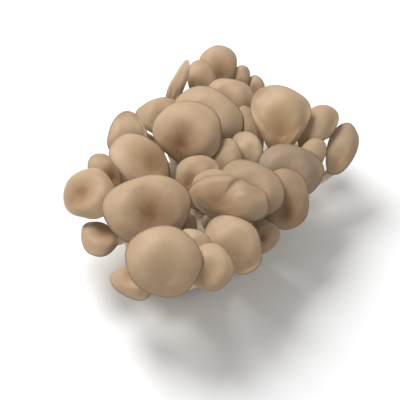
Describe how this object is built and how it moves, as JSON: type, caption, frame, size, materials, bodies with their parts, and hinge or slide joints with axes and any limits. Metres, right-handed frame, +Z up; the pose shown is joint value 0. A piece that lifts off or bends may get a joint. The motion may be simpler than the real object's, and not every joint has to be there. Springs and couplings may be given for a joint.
{
  "type": "oyster mushroom cluster",
  "caption": "Dense cluster of overlapping oyster mushrooms: fan-shaped tan caps with inrolled margins on pale stems that grow from one shared butt with a flat cut foot.",
  "frame": {"origin": "centre of the butt's flat cut face, which the cluster stands on", "axes": "+Z up from the cut face; +Y along the cluster's long side, the way most caps reach; +X to their right"},
  "size_m": [0.1923, 0.2804, 0.1143],
  "materials": {
    "mushroom": null,
    "butt_flesh": null
  },
  "bodies": {
    "root": {"butt": "butt_flesh", "mushroom_01": "mushroom", "mushroom_02": "mushroom", "mushroom_03": "mushroom", "mushroom_04": "mushroom", "mushroom_05": "mushroom", "mushroom_06": "mushroom", "mushroom_07": "mushroom", "mushroom_08": "mushroom", "mushroom_09": "mushroom", "mushroom_10": "mushroom", "mushroom_11": "mushroom", "mushroom_12": "mushroom", "mushroom_13": "mushroom", "mushroom_14": "mushroom", "mushroom_15": "mushroom", "mushroom_16": "mushroom", "mushroom_17": "mushroom", "mushroom_18": "mushroom", "mushroom_19": "mushroom", "mushroom_20": "mushroom", "mushroom_21": "mushroom", "mushroom_22": "mushroom", "mushroom_23": "mushroom", "mushroom_24": "mushroom", "mushroom_25": "mushroom", "mushroom_26": "mushroom", "mushroom_27": "mushroom", "mushroom_28": "mushroom", "mushroom_29": "mushroom", "mushroom_30": "mushroom", "mushroom_31": "mushroom", "mushroom_32": "mushroom", "mushroom_33": "mushroom", "mushroom_34": "mushroom", "mushroom_35": "mushroom", "mushroom_36": "mushroom", "mushroom_37": "mushroom", "mushroom_38": "mushroom"}
  },
  "joints": []
}
